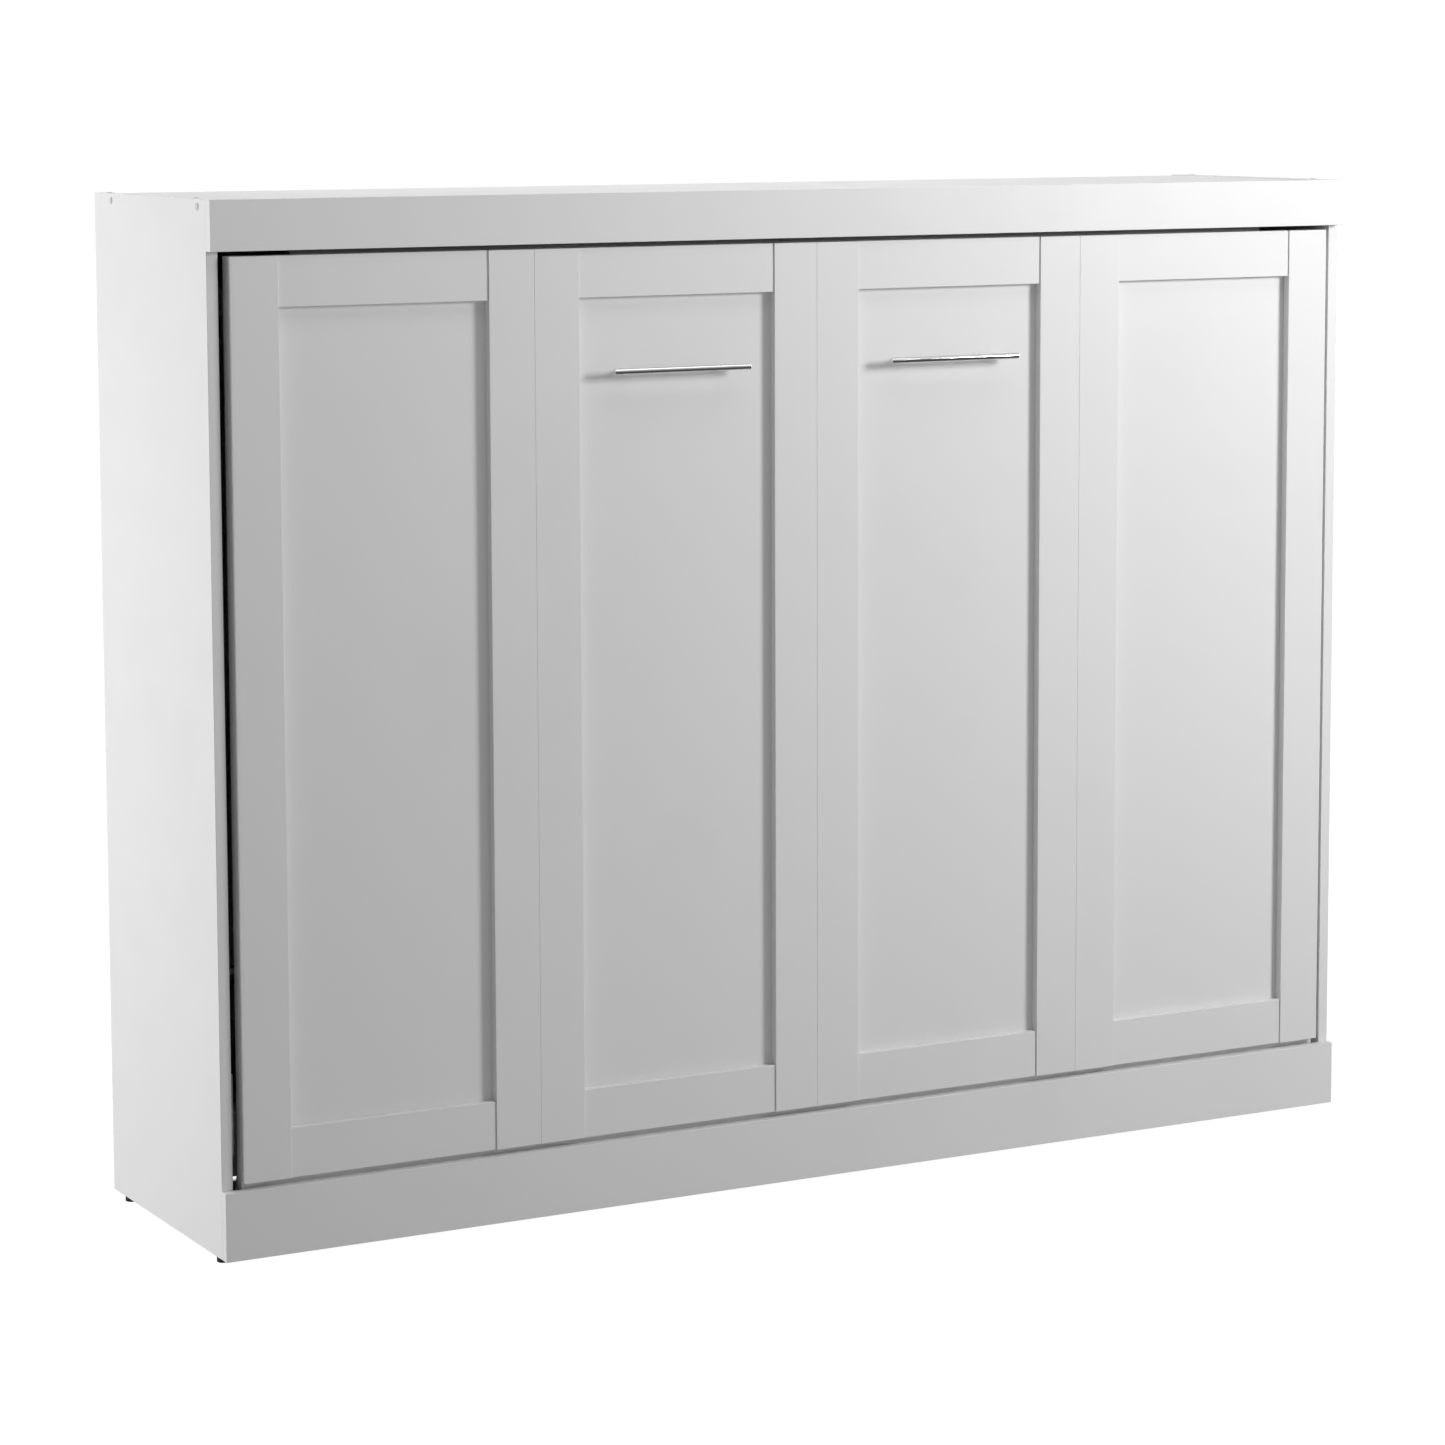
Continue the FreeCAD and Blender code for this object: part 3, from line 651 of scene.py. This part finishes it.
def tube(name, loops, radius, body, material, cyclic=True):
    """Round cord along each of the given lines, as one mesh."""
    curve = bpy.data.curves.new(name, "CURVE")
    curve.dimensions = "3D"
    curve.bevel_depth = radius
    curve.bevel_resolution = 4
    curve.use_fill_caps = not cyclic
    for points in loops:
        line = curve.splines.new("POLY")
        line.points.add(len(points) - 1)
        for point, place in zip(line.points, points):
            point.co = (*place, 1)
        line.use_cyclic_u = cyclic
    holder = bpy.data.objects.new(name, curve)
    mesh = bpy.data.meshes.new_from_object(holder)
    bpy.data.objects.remove(holder)
    mesh.name = name
    return new_piece(name, mesh, body, material)


def ribbon(name, centre_x, line, body, material):
    """Flat webbing of even width and thickness along a line of (y, z) points, with soft selvedges."""
    edge = STRAP_T / 2
    section = [(-STRAP_W / 2 + edge, edge), (-STRAP_W / 2, 0), (-STRAP_W / 2 + edge, -edge),
               (0, -edge * 0.9), (STRAP_W / 2 - edge, -edge), (STRAP_W / 2, 0),
               (STRAP_W / 2 - edge, edge), (0, edge * 0.9)]
    points, faces = [], []
    for index, (y, z) in enumerate(line):
        before = Vector(line[max(index - 1, 0)])
        after = Vector(line[min(index + 1, len(line) - 1)])
        ahead = (after - before).normalized()
        out = Vector((ahead.y, -ahead.x))
        for across, lift in section:
            points.append((centre_x + across, y + out.x * lift, z + out.y * lift))
    count = len(section)
    for index in range(len(line) - 1):
        for side in range(count):
            first = index * count + side
            second = index * count + (side + 1) % count
            faces.append((first, second, second + count, first + count))
    faces.append(tuple(range(count)))
    faces.append(tuple(range(len(points) - 1, len(points) - count - 1, -1)))
    mesh = bpy.data.meshes.new(name)
    mesh.from_pydata(points, [], faces)
    made = bmesh.new()
    made.from_mesh(mesh)
    bmesh.ops.recalc_face_normals(made, faces=made.faces)
    made.to_mesh(mesh)
    made.free()
    return new_piece(name, mesh, body, material)


def strap_line(low, high):
    """Across the foot of the mattress, up its sleeping surface and back over its head."""
    inside = STRAP_T / 2
    back, foot, head = high.y - inside, low.z + inside, high.z - inside
    line = [(low.y, foot)]
    for step in range(9):
        turn = math.radians(90 * step / 8)
        line.append((back - STRAP_CORNER + STRAP_CORNER * math.sin(turn),
                     foot + STRAP_CORNER - STRAP_CORNER * math.cos(turn)))
    steps = 60
    for step in range(1, steps):
        line.append((back, foot + STRAP_CORNER + (head - foot - 2 * STRAP_CORNER) * step / steps))
    for step in range(9):
        turn = math.radians(90 * step / 8)
        line.append((back - STRAP_CORNER + STRAP_CORNER * math.cos(turn),
                     head - STRAP_CORNER + STRAP_CORNER * math.sin(turn)))
    line.append((low.y, head))
    return line


def make_buckles(strap_high, strap_lines, webbing):
    """A three-bar slide on each strap, with the doubled tail of the webbing below it."""
    plastic = moulded("buckle_plastic", grey(0.015), 0.4)
    surface = strap_high.y + BUCKLE_R / 2
    top = strap_high.z - BUCKLE_DROP
    rings, bars = [], []
    for side, centre in zip(("left", "right"), strap_lines):
        low = Vector((centre - BUCKLE_W / 2, surface, top - BUCKLE_H))
        high = Vector((centre + BUCKLE_W / 2, surface, top))
        rings.append(rounded_loop(low, high, surface, 0, BUCKLE_CORNER))
        middle = top - BUCKLE_H / 2
        bars.append([(low.x, surface, middle), (high.x, surface, middle)])
        lift = strap_high.y + STRAP_T / 2
        tail = [(lift, middle - TAIL_L * step / 12) for step in range(13)]
        ribbon("strap_tail_" + side, centre, tail, "bed", webbing)
    tube("strap_buckle_frames", rings, BUCKLE_R, "bed", plastic)
    tube("strap_buckle_bars", bars, BUCKLE_R, "bed", plastic, cyclic=False)


# ---------------------------------------------------------------- bracket screws

SCREW_R = 4.6 * MM
SCREW_H = 2.8 * MM
SCREW_TURNS = 32
PIVOT_PLATE_T = 4 * MM
STRUT_PLATE_T = 3 * MM
ARM_FLANGE_T = 5 * MM
LEG_BASE_T = 3 * MM
PIVOT_SCREW_INSET = 12 * MM
STRUT_SCREW_INSET = 10 * MM
ARM_SCREWS = 4
ARM_SCREW_IN = 11 * MM
ARM_SCREW_FIRST = 25 * MM
ARM_SCREW_PITCH = 70 * MM
LEG_SCREWS_IN = (12 * MM, 32 * MM)
LEG_SCREW_INSET = 14 * MM


def screw_heads(name, body, places, material):
    """Pan heads with cross recesses. Each place is a point on the bracket's face and the way it faces."""
    rings = ((1.0, 0.0, 0.0), (1.0, 0.35, 0.0), (0.93, 0.7, 0.0), (0.7, 0.95, 0.0), (0.46, 1.0, 0.42),
             (0.3, 0.45, 0.5))
    points, faces = [], []
    for place, facing in places:
        turn = Vector(facing).to_track_quat("Z", "X")
        base = len(points)
        for wide, high, lobed in rings:
            for step in range(SCREW_TURNS):
                angle = 2 * math.pi * step / SCREW_TURNS
                radius = SCREW_R * wide * (1 - lobed * (0.5 - 0.5 * math.cos(4 * angle)))
                point = Vector((radius * math.cos(angle), radius * math.sin(angle), SCREW_H * high))
                points.append(Vector(place) + turn @ point)
        for ring in range(len(rings) - 1):
            for step in range(SCREW_TURNS):
                first = base + ring * SCREW_TURNS + step
                second = base + ring * SCREW_TURNS + (step + 1) % SCREW_TURNS
                faces.append((first, second, second + SCREW_TURNS, first + SCREW_TURNS))
        inner = base + (len(rings) - 1) * SCREW_TURNS
        faces.append(tuple(range(inner, inner + SCREW_TURNS)))
        faces.append(tuple(range(base + SCREW_TURNS - 1, base - 1, -1)))
    mesh = bpy.data.meshes.new(name)
    mesh.from_pydata(points, [], faces)
    new_piece(name, mesh, body, material)


def plate_corners(node, inset, face_x):
    """Screw places near the corners of an upright plate whose face is at this x."""
    low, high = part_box(node)
    facing = (math.copysign(1, -face_x), 0, 0)
    return [((face_x, y, z), facing) for y in (low[1] + inset, high[1] - inset)
            for z in (low[2] + inset, high[2] - inset)]


def make_screws():
    """The screws of the pivot plates, strut brackets, lift arms and leg brackets."""
    plate = zinc()
    cabinet_places, bed_places = [], []
    panel_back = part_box("door_1_panel")[1][1]
    for side, sign in (("left", -1), ("right", 1)):
        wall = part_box("side_panel_" + side)[0 if sign > 0 else 1][0]
        cabinet_places += plate_corners("pivot_plate_" + side, PIVOT_SCREW_INSET,
                                        wall - sign * PIVOT_PLATE_T)
        cabinet_places += plate_corners("strut_bracket_" + side, STRUT_SCREW_INSET,
                                        wall - sign * STRUT_PLATE_T)
        arm_low, arm_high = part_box("lift_arm_" + side)
        flange_x = (arm_high if sign < 0 else arm_low)[0] + sign * ARM_SCREW_IN
        for step in range(ARM_SCREWS):
            z = arm_high[2] - ARM_SCREW_FIRST - step * ARM_SCREW_PITCH
            bed_places.append(((flange_x, panel_back + ARM_FLANGE_T, z), (0, 1, 0)))
        leg_low, leg_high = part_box("leg_bracket_" + side)
        inner_x = (leg_high if sign < 0 else leg_low)[0]
        for across in LEG_SCREWS_IN:
            for z in (leg_low[2] + LEG_SCREW_INSET, leg_high[2] - LEG_SCREW_INSET):
                bed_places.append(((inner_x + sign * across, panel_back + LEG_BASE_T, z), (0, 1, 0)))
    screw_heads("bracket_screws_cabinet", "cabinet", cabinet_places, plate)
    screw_heads("bracket_screws_bed", "bed", bed_places, plate)


def make_bedding():
    low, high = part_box("mattress")
    low, high = Vector(low), Vector(high)
    strap_low, strap_high = (Vector(corner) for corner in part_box("mattress_straps"))
    strap_lines = (strap_low.x + STRAP_W / 2, strap_high.x - STRAP_W / 2)
    inner_low = low + Vector((COVER_INSET, 0, COVER_INSET))
    inner_high = high - Vector((COVER_INSET, COVER_INSET / 2, COVER_INSET))
    ticking = weave("ticking", grey(0.78), grey(0.66), 1.6 * MM, quilt=QUILT_PITCH,
                    quilt_face=inner_high.y)
    cover = new_piece("mattress_cover", cover_block(inner_low, inner_high), "bed",
                      ticking)
    swell(cover, inner_low, inner_high, strap_lines)
    finer = cover.modifiers.new("finer", "SUBSURF")
    finer.levels = 1
    finer.render_levels = 1
    cover.data = applied(cover)
    stitch(cover.data, inner_low, inner_high)
    for face in cover.data.polygons:
        face.use_smooth = True
    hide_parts("mattress")

    tape = weave("tape", grey(0.52), grey(0.4), 1.0 * MM)
    rims = [rounded_loop(inner_low, inner_high, y, 1.5 * MM, COVER_CORNER)
            for y in (inner_low.y + COVER_RIM * 0.6, inner_high.y - COVER_RIM * 0.6)]
    tube("mattress_tape_edges", rims, TAPE_R, "bed", tape)

    webbing = weave("webbing", grey(0.03), grey(0.012), 1.2 * MM)
    line = strap_line(strap_low, strap_high)
    straps = [ribbon("strap_" + side, centre, line, "bed", webbing)
              for side, centre in zip(("left", "right"), strap_lines)]
    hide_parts("mattress_straps")
    make_buckles(strap_high, strap_lines, webbing)


make_camera()
make_lights()
make_floor()
make_materials()
make_bedding()
make_screws()
